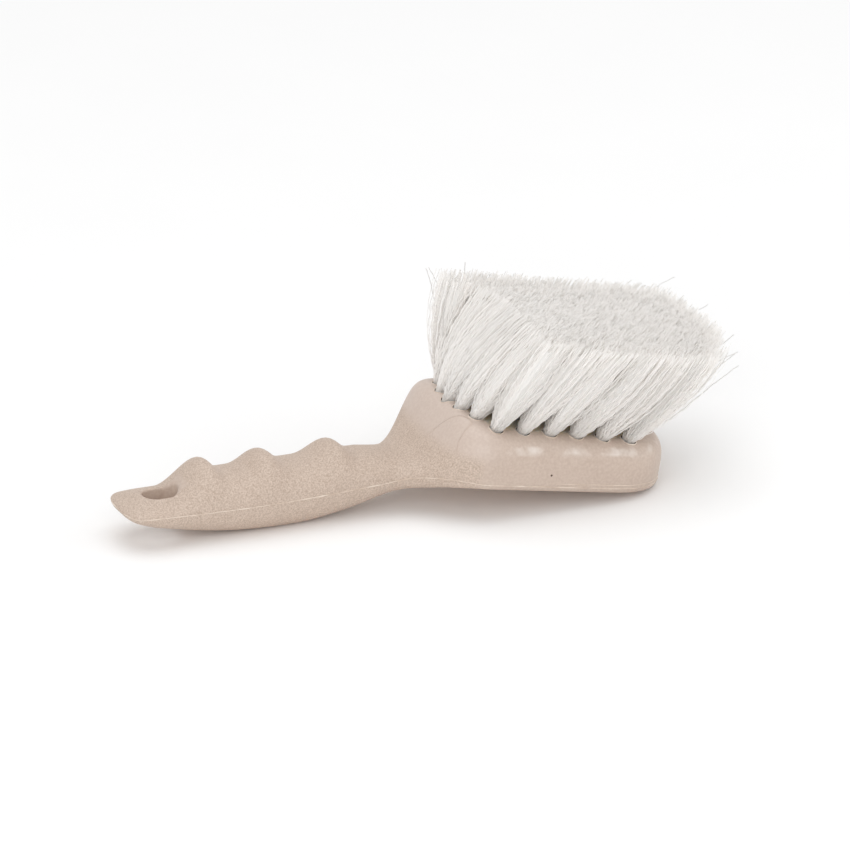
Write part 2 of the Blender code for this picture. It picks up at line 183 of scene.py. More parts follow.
def section(x):
    """Half width, height of the widest line, top, bottom, flat half width, crown exponent."""
    rise = slow_ease(clamp((x - SHOULDER_START) / SHOULDER_LENGTH) ** SHOULDER_SKEW)
    top = mix(grip_top(x), BLOCK_THICKNESS - BLOCK_TAPER * x, rise)
    bottom = underside(x)
    along = x - CREST_X
    arc = PARTING_HEIGHT + PARTING_SLOPE * along + PARTING_SAG * (along / GRIP_LENGTH) ** 2
    widest = mix(arc, BACK_EDGE_RADIUS, arrival(x, PARTING_FALL_LENGTH))
    off_centre = abs(along + NOTCH_PITCH) / (2 * NOTCH_PITCH)
    grip = GRIP_WIDTH / 2 * mix(1.0, GRIP_END_WIDTH_SHARE, ease(off_centre))
    wide = mix(grip, BLOCK_WIDTH / 2, arrival(x, FLARE_LENGTH))
    flat = mix(GRIP_FLAT_WIDTH / 2, wide - BACK_EDGE_RADIUS, arrival(x + BACK_FILL_LEAD, FLARE_LENGTH))
    exponent = mix(GRIP_EXPONENT, CROWN_EXPONENT, arrival(x, CROWN_FILL_LENGTH))
    exponent = mix(exponent, END_LOBE_EXPONENT, lobe_share(x))
    closing = bulge(1 - (x - HANDLE_END) / END_CORNER_LENGTH, END_CORNER_SQUARENESS)
    wide, flat = wide * closing, flat * closing
    top = mix(widest, top, bulge(1 - (x - HANDLE_END) / END_TOP_LENGTH, END_TOP_SQUARENESS))
    bottom = mix(widest, bottom, bulge(1 - (x - HANDLE_END) / END_BELLY_LENGTH, END_BELLY_SQUARENESS))
    nose_share = (x - NOSE + NOSE_ROUND_LENGTH) / NOSE_ROUND_LENGTH
    if nose_share > 0:
        wide = wide * bulge(nose_share, NOSE_SQUARENESS)
        edge = bulge((x - NOSE + BACK_EDGE_RADIUS) / BACK_EDGE_RADIUS, 2)
        flat = max(NOSE_FLAT_SHARE * wide, wide - BACK_EDGE_RADIUS) * mix(NOSE_FLAT_SHARE, 1.0, edge)
        bottom = mix(widest, bottom, edge)
        top = mix(widest, top, bulge((x - NOSE + NOSE_TOP_RADIUS) / NOSE_TOP_RADIUS, NOSE_SQUARENESS))
    return wide, widest, top, bottom, flat, exponent


def crown_height(x, y):
    wide, widest, top, _, _, exponent = section(x)
    return widest + (top - widest) * bulge(abs(y) / wide, exponent)


def belly_height(x, y):
    wide, widest, _, bottom, flat, _ = section(x)
    return widest + (bottom - widest) * bulge((abs(y) - flat) / (wide - flat), 2)


def respaced(points, count):
    """The same open line with its points at equal distances along it."""
    reach = [0.0]
    for a, b in zip(points, points[1:]):
        reach.append(reach[-1] + math.dist(a, b))
    spaced, at = [], 0
    for i in range(count):
        goal = reach[-1] * i / count
        while reach[at + 1] < goal:
            at += 1
        share = (goal - reach[at]) / max(reach[at + 1] - reach[at], 1e-12)
        spaced.append(tuple(mix(a, b, share) for a, b in zip(points[at], points[at + 1])))
    return spaced


CROWN_POINTS = 84
BELLY_POINTS = 46
CROWN_SAMPLES = 260
CORNER_SAMPLES = 16


def section_ring(x):
    wide, widest, top, bottom, flat, exponent = section(x)
    power = 2 / exponent
    crown, belly = [], []
    for i in range(CROWN_SAMPLES + 1):
        angle = math.pi * i / CROWN_SAMPLES
        across, up = math.cos(angle), math.sin(angle)
        y = wide * math.copysign(abs(across) ** power, across)
        crown.append((y, widest + (top - widest) * max(up, 0.0) ** power))
    for side in (-1, 1):
        corner = []
        for i in range(CORNER_SAMPLES + 1):
            angle = math.pi / 2 * i / CORNER_SAMPLES
            corner.append((
                side * (flat + (wide - flat) * math.cos(angle)),
                widest + (bottom - widest) * math.sin(angle),
            ))
        belly += corner if side < 0 else corner[::-1]
    ring = respaced(crown, CROWN_POINTS) + respaced(belly, BELLY_POINTS)
    return [Vector((x, y, z)) for y, z in ring]


def spread_evenly(start, stop, step):
    count = math.ceil((stop - start) / step)
    return [mix(start, stop, i / count) for i in range(count)]


def loft(bm, rings):
    """A closed skin through rings of points."""
    loops = [[bm.verts.new(point) for point in ring] for ring in rings]
    for first, second in zip(loops, loops[1:]):
        for i in range(len(first)):
            j = (i + 1) % len(first)
            bm.faces.new((first[i], first[j], second[j], second[i]))
    bm.faces.new(loops[0][::-1])
    bm.faces.new(loops[-1])


def closed_mesh(name, bm):
    """The mesh of a finished skin, with its faces turned outwards."""
    bmesh.ops.recalc_face_normals(bm, faces=bm.faces)
    mesh = bpy.data.meshes.new(name)
    bm.to_mesh(mesh)
    bm.free()
    return mesh


def add_object(name, data):
    obj = bpy.data.objects.new(name, data)
    scene.collection.objects.link(obj)
    return obj


CAP_RINGS = 36
CAP_FILL = 0.99998  # the first and the last ring stay this little short of a point
HANDLE_STEP = 0.0011
BLOCK_STEP = 0.0014
cap_angles = [math.pi / 2 * i / CAP_RINGS for i in range(CAP_RINGS + 1)]
stations = [HANDLE_END + END_TOP_LENGTH * (1 - CAP_FILL * math.cos(angle)) for angle in cap_angles[:-1]]
stations += spread_evenly(HANDLE_END + END_TOP_LENGTH, FLARE_END, HANDLE_STEP)
stations += spread_evenly(FLARE_END, NOSE - NOSE_ROUND_LENGTH, BLOCK_STEP)
stations += [NOSE - NOSE_ROUND_LENGTH * (1 - CAP_FILL * math.sin(angle)) for angle in cap_angles]

skin = bmesh.new()
loft(skin, [section_ring(x) for x in stations])
moulding_skin = add_object("moulding_skin", closed_mesh("moulding_skin", skin))


# Tuft holes: 47 blind holes drilled in seven rows, each leaning the way its tuft fans out.
# The drill leaves a ragged mouth, so each hole's outline is uneven.
ROW_COUNT = 7
ROW_SPACING = 0.0082
TUFT_PITCH = 0.0105
FIELD_LENGTH = 0.0718
FIELD_END_SAG = 0.0085
HOLE_RADIUS = 0.0029
HOLE_RAGGEDNESS = 0.00012
HOLE_SIDES = 26
HOLE_DEPTH = 0.0130
DRILL_CLEAR = 0.006
TRIM_HEIGHT = 0.0578
TRIM_SLOPE = 0.048
TRIM_CROSS_SLOPE = 0.03
TIP_FIELD_LENGTH = 0.0975
TIP_FIELD_SHIFT = 0.0172
TIP_FIELD_WIDTH = 0.0656
TIP_END_SAG = 0.0075
TIP_FAR_SPREAD = 0.0046
DRILL_LEAN_SHARE = 0.75


def on_trim(x, y):
    return Vector((x, y, TRIM_HEIGHT - TRIM_SLOPE * x + TRIM_CROSS_SLOPE * y))


tuft_rows = []
for row in range(ROW_COUNT):
    row_share = 2 * row / (ROW_COUNT - 1) - 1
    row_length = FIELD_LENGTH - 2 * FIELD_END_SAG * row_share**2
    tip_length = TIP_FIELD_LENGTH - 2 * TIP_END_SAG * row_share**2 + 2 * TIP_FAR_SPREAD * row_share
    count = int(row_length / TUFT_PITCH) + 1
    tufts = []
    for i in range(count):
        along_share = 2 * i / (count - 1) - 1
        x, y = along_share * row_length / 2, row_share * ROW_SPACING * (ROW_COUNT - 1) / 2
        mouth = Vector((x, y, crown_height(x, y)))
        tip = on_trim(TIP_FIELD_SHIFT + along_share * tip_length / 2, row_share * TIP_FIELD_WIDTH / 2)
        lean = tip - mouth
        axis = Vector((lean.x * DRILL_LEAN_SHARE, lean.y, lean.z)).normalized()
        across = Vector((0, 1, 0)).cross(axis).normalized()
        half = Vector((tip_length / (count - 1) / 2, TIP_FIELD_WIDTH / (ROW_COUNT - 1) / 2, 0))
        tufts.append((mouth, axis, across, tip, half))
    tuft_rows.append(tufts)

chance = random.Random(4)
cutter = bmesh.new()
hole_rims = []
for mouth, axis, across, tip, half in [tuft for tufts in tuft_rows for tuft in tufts]:
    along = axis.cross(across)
    spokes = []
    for i in range(HOLE_SIDES):
        angle = 2 * math.pi * i / HOLE_SIDES
        radius = HOLE_RADIUS + chance.uniform(-HOLE_RAGGEDNESS, HOLE_RAGGEDNESS)
        spokes.append(radius * (math.cos(angle) * across + math.sin(angle) * along))
    loft(cutter, [
        [mouth + axis * distance + spoke for spoke in spokes] for distance in (-HOLE_DEPTH, DRILL_CLEAR)
    ])
    rim = []
    for spoke in spokes:
        point = mouth + spoke
        for _ in range(6):
            point = point + axis * ((crown_height(point.x, point.y) - point.z) / axis.z)
        rim.append(point)
    hole_rims.append(rim)
drilled_faces = len(cutter.faces)


# Hang slot: moulded through the grip's end lobe for a lanyard, with rounded lips above and
# below that follow the lobe's own surface. A lip's pairs are a depth and how much the outline
# has grown there.
SLOT_LENGTH = 0.0134
SLOT_WIDTH = 0.0088
SLOT_END_MARGIN = 0.0098
SLOT_LIP = ((-0.0030, 0.0036), (0.0, 0.0009), (0.0002, 0.0005), (0.0005, 0.0002), (0.0011, 0.0))

slot_x = HANDLE_END + SLOT_END_MARGIN + SLOT_LENGTH / 2
slot_middle = Vector((slot_x, 0, mix(underside(slot_x), grip_top(slot_x), 0.5)))
slot_turn = Matrix.Rotation(-math.atan(GRIP_SLOPE), 3, "Y")
slot_outline = []
for end, start_angle in ((1, -90), (-1, 90)):
    for turn in range(0, 181, 10):
        angle = math.radians(start_angle + turn)
        outward = Vector((math.cos(angle), math.sin(angle), 0))
        slot_outline.append((Vector((end * (SLOT_LENGTH - SLOT_WIDTH) / 2, 0, 0)), outward))


def slot_ring(surface, inwards, depth, growth):
    """The slot's outline at one depth below the grip's top or underside."""
    ring = []
    for centre, outward in slot_outline:
        flat_point = centre + outward * (SLOT_WIDTH / 2 + growth)
        height = 0.0
        for _ in range(8):
            point = slot_middle + slot_turn @ (flat_point + Vector((0, 0, height)))
            height += surface(point.x, point.y) - point.z
        ring.append(slot_middle + slot_turn @ (flat_point + Vector((0, 0, height - inwards * depth))))
    return ring


slot_rings = [slot_ring(crown_height, 1, depth, growth) for depth, growth in SLOT_LIP]
slot_rings += [slot_ring(belly_height, -1, depth, growth) for depth, growth in reversed(SLOT_LIP)]
loft(cutter, slot_rings)
cutter_mesh = closed_mesh("drills_and_slot", cutter)
for i, polygon in enumerate(cutter_mesh.polygons):
    polygon.material_index = 1 if i < drilled_faces else 0
drills_and_slot = add_object("drills_and_slot", cutter_mesh)


# Moulded polypropylene, coloured tan in the melt. The mould's blasted steel gives the handle
# a fine pebbled grain, and the block's insert is smoother, with faint flow lines by the hump.
def linear(hex_colour):
    """A hex sRGB colour as a linear one."""
    values = [int(hex_colour[i:i + 2], 16) / 255 for i in (1, 3, 5)]
    return [v / 12.92 if v <= 0.04045 else ((v + 0.055) / 1.055) ** 2.4 for v in values] + [1.0]


def add_node(tree, kind, inputs=None, **settings):
    """Adds a node with its settings and each input's value or link, and returns its outputs."""
    node = tree.nodes.new(kind)
    for name, value in settings.items():
        setattr(node, name, value)
    for key, value in (inputs or {}).items():
        if isinstance(value, bpy.types.NodeSocket):
            tree.links.new(value, node.inputs[key])
        else:
            node.inputs[key].default_value = value
    return node.outputs


def number_node(tree, operation, *values):
    """The result of one step of arithmetic."""
    return add_node(tree, "ShaderNodeMath", dict(enumerate(values)), operation=operation)[0]


def vector_node(tree, operation, *values):
    """The same with vectors, or with a vector and a scale."""
    keys = (0, "Scale" if operation == "SCALE" else 1)
    return add_node(tree, "ShaderNodeVectorMath", dict(zip(keys, values)), operation=operation)[0]


def blend(tree, share, one, other):
    """A colour between two others."""
    return add_node(tree, "ShaderNodeMix", {0: share, 6: one, 7: other}, data_type="RGBA")[2]


def new_material(name, roughness, ior=1.5):
    material = bpy.data.materials.new(name)
    material.use_nodes = True
    tree = material.node_tree
    shader = tree.nodes["Principled BSDF"]
    shader.inputs["Roughness"].default_value = roughness
    shader.inputs["IOR"].default_value = ior
    return material, tree, shader


POLYPROPYLENE_IOR = 1.49
GRAIN_SIZE = 0.00055  # the real grain is finer, and would not show at this distance
GRAIN_HEIGHT = 0.00018
CLOUD_SIZE = 0.016
SATIN_SIZE = 0.0035
SATIN_HEIGHT = 0.00006
SPECKLE_SIZE = 0.0010
RIM_HIGHLIGHT_SIZE = 0.009
FLOW_SIZE = 0.040
FLOW_LINES_PER_SIZE = 9.0
SPECK_SPACING = 0.019
SPECK_RARITY = 0.72
SATIN_ROUGHNESS = 0.40
GRAIN_ROUGHNESS = 0.58
GLOW_DEPTH = 0.016
tan_plastic, tree, shader = new_material("moulded_polypropylene", 0.5, POLYPROPYLENE_IOR)
place = add_node(tree, "ShaderNodeTexCoord")["Object"]
grain, field, hump, rim = [
    add_node(tree, "ShaderNodeAttribute", attribute_name=name)["Fac"]
    for name in ("grain", "between_tufts", "hump", "rim")
]
pebbles, clouds, satin, speckle, rim_highlight = [
    add_node(tree, "ShaderNodeTexNoise", {"Vector": place, "Scale": 1 / size, "Detail": detail})["Fac"]
    for size, detail in (
        (GRAIN_SIZE, 2.0), (CLOUD_SIZE, 3.0), (SATIN_SIZE, 2.0), (SPECKLE_SIZE, 2.0), (RIM_HIGHLIGHT_SIZE, 3.0),
    )
]
flow = add_node(
    tree, "ShaderNodeTexNoise",
    {"Vector": place, "Scale": 1 / FLOW_SIZE, "Detail": 0.6, "Distortion": 0.5},
)["Fac"]
flow = number_node(tree, "MULTIPLY", flow, FLOW_LINES_PER_SIZE)
flow = number_node(tree, "PINGPONG", flow, 1.0)
specks = add_node(
    tree, "ShaderNodeTexVoronoi", {"Vector": place, "Scale": 1 / SPECK_SPACING}, feature="F1",
)
flow_lines, speck, speckle, pits, rim_highlight = [
    add_node(tree, "ShaderNodeMapRange", {"Value": value, "From Min": low, "From Max": high})["Result"]
    for value, low, high in (
        (flow, 0.09, 0.0), (specks["Distance"], 0.026, 0.017), (speckle, 0.35, 0.70),
        (pebbles, 0.66, 0.34), (rim_highlight, 0.44, 0.60),
    )
]
any_speck = add_node(tree, "ShaderNodeSeparateColor", {"Color": specks["Color"]})["Red"]
rare = number_node(tree, "GREATER_THAN", any_speck, SPECK_RARITY)
flow_lines, speck, rim_highlight, grain_height, glow = [
    number_node(tree, "MULTIPLY", one, other)
    for one, other in (
        (flow_lines, hump), (speck, rare), (rim_highlight, rim), (pebbles, grain), (field, 0.9),
    )
]
colour, pebbled = [
    blend(tree, share, linear(one), linear(other))
    for share, one, other in ((clouds, "#B9A597", "#C6B3A5"), (pits, "#D8C6B7", "#A28D7B"))
]
for layer, where, strength in (
    (linear("#DED0C3"), speckle, 0.30),
    (pebbled, grain, 0.55),
    # painted highlight: paler patches along the block's upper edge, where its rounding catches the
    # light
    (linear("#DDD2C9"), rim_highlight, 1.0),
    # between the tufts: the plastic's own yellower tint, made paler still as painted light for the
    # light that reaches it through the filaments
    (linear("#F9DFBC"), field, 0.95),
    (linear("#D3C4BB"), hump, 0.35),
    (linear("#B79F8C"), flow_lines, 0.30),
    (linear("#4A3426"), speck, 1.0),
):
    share = number_node(tree, "MULTIPLY", where, strength)
    colour = blend(tree, share, colour, layer)
tree.links.new(colour, shader.inputs["Base Color"])
rough = add_node(
    tree, "ShaderNodeMapRange", {"Value": grain, "To Min": SATIN_ROUGHNESS, "To Max": GRAIN_ROUGHNESS},
)["Result"]
tree.links.new(rough, shader.inputs["Roughness"])
tree.links.new(glow, shader.inputs["Subsurface Weight"])
shader.inputs["Subsurface Radius"].default_value = (1.0, 0.75, 0.5)
shader.inputs["Subsurface Scale"].default_value = GLOW_DEPTH
bump = add_node(
    tree, "ShaderNodeBump", {"Height": satin, "Distance": SATIN_HEIGHT, "Strength": 0.5},
)["Normal"]
relief = number_node(tree, "ADD", grain_height, flow_lines)
bump = add_node(
    tree, "ShaderNodeBump",
    {"Height": relief, "Distance": GRAIN_HEIGHT, "Strength": 0.9, "Normal": bump},
)["Normal"]
tree.links.new(bump, shader.inputs["Normal"])

# Drilled polypropylene: torn and rubbed by the drill, so it is rougher and a little browner.
# Its dark brown is mostly painted shade: the hole's wall lies in the shade of its filaments.
bored_plastic, tree, shader = new_material("drilled_polypropylene", 0.7, POLYPROPYLENE_IOR)
place = add_node(tree, "ShaderNodeTexCoord")["Object"]
TEAR_SIZE = 0.0007
TEAR_HEIGHT = 0.00015
torn = add_node(
    tree, "ShaderNodeTexNoise", {"Vector": place, "Scale": 1 / TEAR_SIZE, "Detail": 3.0},
)["Fac"]
# Dark browns: painted shade on the hole's wall, under its filaments.
hole_wall_shade_colour = blend(tree, torn, linear("#4A3524"), linear("#7A5F46"))
tree.links.new(hole_wall_shade_colour, shader.inputs["Base Color"])
bump = add_node(tree, "ShaderNodeBump", {"Height": torn, "Distance": TEAR_HEIGHT, "Strength": 0.8})
tree.links.new(bump["Normal"], shader.inputs["Normal"])

for obj in (moulding_skin, drills_and_slot):
    obj.data.materials.append(tan_plastic)
    obj.data.materials.append(bored_plastic)
cut = moulding_skin.modifiers.new("drill_and_slot", "BOOLEAN")
cut.operation = "DIFFERENCE"
cut.solver = "EXACT"
cut.object = drills_and_slot
bpy.context.view_layer.update()
graph = bpy.context.evaluated_depsgraph_get()
moulding_mesh = bpy.data.meshes.new_from_object(moulding_skin.evaluated_get(graph))
bpy.data.objects.remove(moulding_skin, do_unlink=True)
bpy.data.objects.remove(drills_and_slot, do_unlink=True)

# Where each surface lies, from 0 to 1. The length that each ease() divides by is its soft edge.
GRAIN_EDGE_X = -0.0318
HUMP_HEIGHT = 0.0085
HUMP_OVERLAP = 0.008
FIELD_HEIGHT = 0.015
FIELD_MARGIN = 0.001
FIELD_HALF_ROWS = 3.15
RIM_LOW = 0.0140
RIM_HIGH = 0.0176
RIM_START_X = -0.030
SLOT_MARGIN = 0.0002
surfaces = [
    moulding_mesh.attributes.new(name, "FLOAT", "POINT").name
    for name in ("grain", "hump", "between_tufts", "rim")
]
for i, vertex in enumerate(moulding_mesh.vertices):
    x, y, z = vertex.co
    raised = ease((z - HUMP_HEIGHT) / 0.006) * ease((x - SHOULDER_START) / 0.008)
    row_share = clamp(abs(y) / (ROW_SPACING * 3.2))
    reach = FIELD_LENGTH / 2 - FIELD_END_SAG * row_share**2 + FIELD_MARGIN
    inside = ease((reach - abs(x)) / 0.004) * ease((ROW_SPACING * FIELD_HALF_ROWS - abs(y)) / 0.003)
    in_slot = abs(x - slot_x) < SLOT_LENGTH / 2 + SLOT_MARGIN and abs(y) < SLOT_WIDTH / 2 + SLOT_MARGIN
    # The block's upper edge, which takes the painted highlight.
    band = ease((z - RIM_LOW) / 0.0012) * ease((RIM_HIGH - z) / 0.0012)
    shares = (
        0.0 if in_slot else ease((GRAIN_EDGE_X - x) / 0.0030) * (1 - raised),
        raised * ease((GRAIN_EDGE_X + HUMP_OVERLAP - x) / 0.010),
        inside if z > FIELD_HEIGHT else 0.0,
        band * ease((x - RIM_START_X) / 0.006),
    )
    for name, share in zip(surfaces, shares):
        moulding_mesh.attributes[name].data[i].value = share
moulding_mesh.transform(REST_PLACE)
moulding_mesh.shade_smooth()
moulding_mesh.set_sharp_from_angle(angle=math.radians(42))
moulding = add_object("moulding", moulding_mesh)
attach(moulding, "root")
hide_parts("handle_block")


# Flash and burrs: thin lines of the same plastic. Flash stands where the mould's halves met,
# all round the widest line, and where the insert met them. A burr stands round each hole.
def new_tree(name, sockets):
    """A geometry tree with its named inputs, and a lookup from each name to its identifier."""
    tree = bpy.data.node_groups.new(name, "GeometryNodeTree")
    tree.interface.new_socket("Geometry", in_out="INPUT", socket_type="NodeSocketGeometry")
    names = {}
    for kind, labels in sockets.items():
        for label in labels:
            socket = tree.interface.new_socket(label, in_out="INPUT", socket_type="NodeSocket" + kind)
            names[label] = socket.identifier
    tree.interface.new_socket("Geometry", in_out="OUTPUT", socket_type="NodeSocketGeometry")
    return tree, names, tree.nodes.new("NodeGroupInput").outputs


def made_by(obj, tree, names, values):
    """The plain mesh that the tree makes of an object, set down in its place on the table."""
    modifier = obj.modifiers.new(tree.name, "NODES")
    modifier.node_group = tree
    for label, value in values.items():
        modifier[names[label]] = value
    bpy.context.view_layer.update()
    mesh = bpy.data.meshes.new_from_object(obj.evaluated_get(bpy.context.evaluated_depsgraph_get()))
    bpy.data.objects.remove(obj, do_unlink=True)
    mesh.transform(REST_PLACE)
    return mesh


THINNEST_LUMP = 0.2  # share of the radius
sweep, sweep_names, given = new_tree("swept_line", {
    "Float": ("Step", "Radius", "Waver", "Waver Size", "Lumps", "Seed"),
    "Int": ("Sides",),
    "Material": ("Material",),
})
tree = sweep
line = add_node(
    tree, "GeometryNodeResampleCurve", {"Curve": given["Geometry"], "Length": given["Step"]},
    mode="LENGTH",
)
where = add_node(tree, "GeometryNodeInputPosition")[0]
per_size = number_node(tree, "DIVIDE", 1.0, given["Waver Size"])
noise = add_node(
    tree, "ShaderNodeTexNoise", {"Vector": where, "W": given["Seed"], "Scale": per_size, "Detail": 1.0},
    noise_dimensions="4D",
)
centred = vector_node(tree, "SUBTRACT", noise["Color"], (0.5, 0.5, 0.5))
offset = vector_node(tree, "SCALE", centred, given["Waver"])
wavering = add_node(tree, "GeometryNodeSetPosition", {"Geometry": line[0], "Offset": offset})[0]
lump = number_node(tree, "SUBTRACT", noise[0], 0.5)
lump = number_node(tree, "MULTIPLY_ADD", lump, given["Lumps"], 1.0)
lump = number_node(tree, "MAXIMUM", lump, THINNEST_LUMP)
profile = add_node(
    tree, "GeometryNodeCurvePrimitiveCircle", {"Resolution": given["Sides"], "Radius": given["Radius"]},
)[0]
tube = add_node(
    tree, "GeometryNodeCurveToMesh",
    {"Curve": wavering, "Profile Curve": profile, "Scale": lump, "Fill Caps": True},
)[0]
smooth = add_node(tree, "GeometryNodeSetShadeSmooth", {0: tube})[0]
whole = add_node(tree, "GeometryNodeRealizeInstances", {0: smooth})[0]
coated = add_node(
    tree, "GeometryNodeSetMaterial", {"Geometry": whole, "Material": given["Material"]},
)[0]
add_node(tree, "NodeGroupOutput", {0: coated})


def new_lines(name, lines, closed):
    """A curve object with one poly line for each list of points."""
    curve = bpy.data.curves.new(name, "CURVE")
    curve.dimensions = "3D"
    for points in lines:
        spline = curve.splines.new("POLY")
        spline.points.add(len(points) - 1)
        for slot, point in zip(spline.points, points):
            slot.co = (*point, 1)
        spline.use_cyclic_u = closed
    return add_object(name + "_lines", curve)


def edge_point(x, side, lift):
    wide, widest = section(x)[:2]
    return Vector((x, side * wide, widest + lift))


INSERT_START_X = -0.006
INSERT_LIFT = 0.0013
insert_stations = [x for x in stations if x > INSERT_START_X]
seam, insert_seam = [
    [edge_point(x, -1, lift) for x in along] + [edge_point(x, 1, lift) for x in reversed(along)]
    for along, lift in ((stations, 0.0), (insert_stations, INSERT_LIFT))
]
flash_plastic, tree, shader = new_material("polypropylene_flash", 0.45, POLYPROPYLENE_IOR)
PATCH_SIZE = 0.006
place = add_node(tree, "ShaderNodeTexCoord")["Object"]
patchy = add_node(
    tree, "ShaderNodeTexNoise", {"Vector": place, "Scale": 1 / PATCH_SIZE, "Detail": 2.0},
)["Fac"]
patchy = add_node(
    tree, "ShaderNodeMapRange", {"Value": patchy, "From Min": 0.35, "From Max": 0.65},
)["Result"]
# The paler colour is painted highlight, in patches: light catching on the thin ridges of flash and
# burr.
ridge_highlight_colour = blend(tree, patchy, linear("#CBB8A7"), linear("#E8DBCD"))
tree.links.new(ridge_highlight_colour, shader.inputs["Base Color"])

for name, lines, closed, step, radius, waver, lumps in (
    ("parting_flash", [seam], True, 0.0012, 0.00016, 0.0002, 3.2),
    ("insert_flash", [insert_seam], False, 0.0012, 0.00012, 0.0002, 3.0),
    ("hole_burrs", hole_rims, True, 0.0005, 0.00020, 0.0003, 2.6),
):
    mesh = made_by(new_lines(name, lines, closed), sweep, sweep_names, {
        "Step": step, "Radius": radius, "Sides": 6, "Waver": waver, "Waver Size": 0.003,
        "Lumps": lumps, "Seed": 2.0, "Material": flash_plastic,
    })
    piece = add_object(name, mesh)
    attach(piece, "root")


# Crimped nylon filaments: each tuft is folded over its wire and packed in its hole, and fans
# out to the flat face that all tufts are trimmed to. Milky nylon lets light through, and the
# crimp holds the filaments apart, so the tufts soon merge into one bright mass.
NYLON_IOR = 1.53
LET_THROUGH = 0.5
ROOT_DARKENING = 0.30
ROOT_DARK_END, ROOT_DARK_FULL = 0.11, 0.03  # shares of a filament's length, from its root
nylon, tree, shader = new_material("crimped_nylon_filament", 0.42, NYLON_IOR)
own_shade = add_node(tree, "ShaderNodeAttribute", attribute_name="shade")["Fac"]
own_shade = add_node(tree, "ShaderNodeMapRange", {"Value": own_shade, "From Max": 0.4})["Result"]
height = add_node(tree, "ShaderNodeAttribute", attribute_name="along")["Fac"]
white = blend(tree, own_shade, linear("#F0EFED"), linear("#FFFEFD"))
# Darker and warmer towards the root: partly dust, partly painted shade where the tufts stand close
# together by the block.
root_dust_and_shade = add_node(
    tree, "ShaderNodeMapRange",
    {"Value": height, "From Min": ROOT_DARK_END, "From Max": ROOT_DARK_FULL, "To Max": ROOT_DARKENING},
)["Result"]
white = blend(tree, root_dust_and_shade, white, linear("#CDC0B0"))
tree.links.new(white, shader.inputs["Base Color"])
let_through = add_node(tree, "ShaderNodeBsdfTranslucent", {"Color": white})["BSDF"]
both = add_node(
    tree, "ShaderNodeMixShader", {0: LET_THROUGH, 1: shader.outputs["BSDF"], 2: let_through},
)["Shader"]
tree.links.new(both, tree.nodes["Material Output"].inputs["Surface"])

GOLDEN_ANGLE = 2.399963
FULL_TURN = 6.2832
MOUTH_DEPTH = 0.003  # the free filaments are drawn from this far down in their hole
PROUD_RARITY = 24.0  # the higher, the fewer filaments stand proud of the trimmed face
PROUD_REACH = 4.0
ELBOW_AT = (0.13, 0.17)  # least and most share of its length where a filament leaves its bundle
BEND_AT = (0.36, 0.44)  # and where it has spread out
CRIMPED_FROM = 0.25  # share of its length where the crimp has its full height
tufting, tufting_names, given = new_tree("nylon_tufts", {
    "Int": ("Filaments per Tuft", "Points per Filament", "Seed"),
    "Float": (
        "Filament Diameter", "Bundle Radius", "Crimp Length", "Crimp Height", "Tip Unevenness",
        "Tip Scatter", "Tip Spread", "Root Spread", "Early Spread",
    ),
    "Material": ("Material",),
})
tree = tufting
chances = []
for turn in (1.0, 2.0, 3.0):
    seed = number_node(tree, "ADD", given["Seed"], turn)
    three = add_node(tree, "FunctionNodeRandomValue", {"Seed": seed}, data_type="FLOAT_VECTOR")[0]
    chances += add_node(tree, "ShaderNodeSeparateXYZ", {0: three})[0:3]
copies = add_node(
    tree, "GeometryNodeDuplicateElements",
    {"Geometry": given["Geometry"], "Amount": given["Filaments per Tuft"]}, domain="POINT",
)
number = number_node(tree, "ADD", copies["Duplicate Index"], 0.5)
share = number_node(tree, "DIVIDE", number, given["Filaments per Tuft"])
share = number_node(tree, "SQRT", share)
angle = number_node(tree, "MULTIPLY", number, GOLDEN_ANGLE)
any_way = number_node(tree, "MULTIPLY", chances[2], FULL_TURN)
spokes = []
for turn in (angle, any_way):
    cosine = number_node(tree, "COSINE", turn)
    sine = number_node(tree, "SINE", turn)
    spokes.append(add_node(tree, "ShaderNodeCombineXYZ", {0: cosine, 1: sine})[0])
tuft_facts = {}
for name in ("axis", "across", "tip", "half"):
    tuft_facts[name] = add_node(
        tree, "GeometryNodeInputNamedAttribute", {"Name": name}, data_type="FLOAT_VECTOR",
    )["Attribute"]
aligned = add_node(
    tree, "FunctionNodeAxesToRotation", {0: tuft_facts["axis"], 1: tuft_facts["across"]},
    primary_axis="Z", secondary_axis="X",
)[0]
disc = vector_node(tree, "SCALE", spokes[0], share)
bundle = vector_node(tree, "SCALE", disc, given["Bundle Radius"])
bundle = vector_node(tree, "ADD", bundle, (0.0, 0.0, -MOUTH_DEPTH))
bundle = add_node(tree, "FunctionNodeRotateVector", {0: bundle, 1: aligned})[0]
mouth = add_node(tree, "GeometryNodeInputPosition")[0]
root = vector_node(tree, "ADD", mouth, bundle)
swing = add_node(tree, "FunctionNodeRotateVector", {0: spokes[1], 1: aligned})[0]

# The disc of roots opens into a square cell: each spoke is divided by its longer side.
sides = vector_node(tree, "ABSOLUTE", spokes[0])
sides = add_node(tree, "ShaderNodeSeparateXYZ", {0: sides})
longer = number_node(tree, "MAXIMUM", sides[0], sides[1])
widening = number_node(tree, "DIVIDE", given["Tip Spread"], longer)
cell = vector_node(tree, "MULTIPLY", disc, tuft_facts["half"])
cell = vector_node(tree, "SCALE", cell, widening)
strewn = add_node(tree, "ShaderNodeCombineXYZ", {0: chances[0], 1: chances[1]})[0]
strewn = vector_node(tree, "SUBTRACT", strewn, (0.5, 0.5, 0.0))
strewn = vector_node(tree, "SCALE", strewn, given["Tip Scatter"])
cell = vector_node(tree, "ADD", cell, strewn)
flat_tip = vector_node(tree, "ADD", tuft_facts["tip"], cell)
flat_tip = vector_node(tree, "MULTIPLY", flat_tip, (1.0, 1.0, 0.0))
